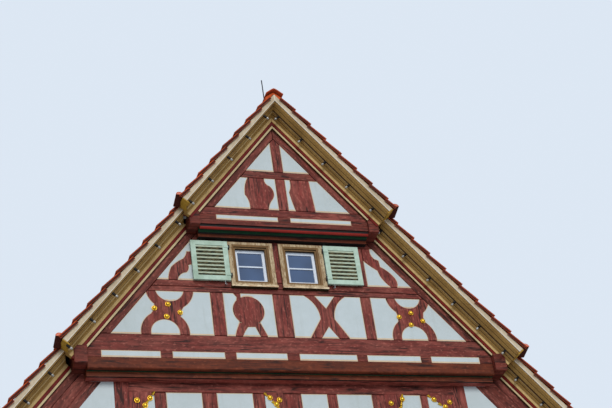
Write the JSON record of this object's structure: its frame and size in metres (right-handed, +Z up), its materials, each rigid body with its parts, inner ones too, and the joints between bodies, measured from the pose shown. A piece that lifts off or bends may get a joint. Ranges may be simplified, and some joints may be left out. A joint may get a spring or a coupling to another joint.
{
  "type": "half timbered house",
  "caption": "Half timbered house: plastered ground storey, two jettied timber storeys and a stepped three stage gable with curved crosses, shuttered windows and a steep tiled roof.",
  "frame": {"origin": "middle of the house at ground level", "axes": "+X to the right along the front, -Y out of the front gable, +Z up"},
  "size_m": [13.3124, 12.68, 18.1863],
  "materials": {
    "red_timber": "weathered oxblood paint on oak",
    "plaster": "smooth lime plaster",
    "render": "lime render on masonry",
    "stone": "dressed sandstone",
    "roof_tile": "matt fired clay",
    "tan_boards": "weathered ochre paint on boards",
    "cream_paint": "weathered cream paint",
    "ochre_paint": "ochre brown paint",
    "white_paint": "white gloss paint",
    "shutter_paint": "mint green paint",
    "gold_paint": "gold paint on turned wood",
    "iron": "black iron",
    "glass": "clear window glass"
  },
  "bodies": {
    "house": {"ground_front_wall": "render", "ground_back_wall": "render", "ground_left_wall": "render", "ground_right_wall": "render", "ground_floor": "stone", "door_arch": "stone", "front_door": "red_timber", "first_floor": "red_timber", "second_floor": "red_timber", "attic_floor": "red_timber", "upper_attic_floor": "red_timber", "loft_floor": "red_timber", "front_first_frame": "red_timber", "front_second_frame": "red_timber", "front_lower_gable_frame": "red_timber", "front_middle_gable_frame": "red_timber", "front_top_gable_frame": "red_timber", "back_storey_frames": "red_timber", "back_gable_frames": "red_timber", "left_side_frames": "red_timber", "right_side_frames": "red_timber", "front_storey_infill": "plaster", "front_gable_infill": "plaster", "back_storey_infill": "plaster", "back_gable_infill": "plaster", "left_side_infill": "plaster", "right_side_infill": "plaster", "cross_knobs": "gold_paint", "jetty_mouldings": "red_timber", "purlins": "red_timber", "left_roof_boards": "tan_boards", "right_roof_boards": "tan_boards", "left_roof_tiles": "roof_tile", "right_roof_tiles": "roof_tile", "ridge_tiles": "roof_tile", "barge_boards": "cream_paint", "verge_soffits": "tan_boards", "verge_end_boards": "ochre_paint", "verge_strips": "cream_paint", "front_window_surrounds": "ochre_paint", "back_window_surrounds": "ochre_paint", "side_window_surrounds": "ochre_paint", "casements": "white_paint", "window_glass": "glass", "shutter_pins": "iron", "lightning_rod": "iron"},
    "left_shutter": {"left_shutter": "shutter_paint"},
    "right_shutter": {"right_shutter": "shutter_paint"}
  },
  "joints": [
    {"name": "left_shutter_hinge", "type": "hinge", "parent": "house", "child": "left_shutter", "pos_m": [-1.0225, -5.688, 14.3375], "axis": [0, 0, 1], "range_deg": [0, 180]},
    {"name": "right_shutter_hinge", "type": "hinge", "parent": "house", "child": "right_shutter", "pos_m": [0.7025, -5.688, 14.3375], "axis": [0, 0, -1], "range_deg": [0, 180]}
  ]
}
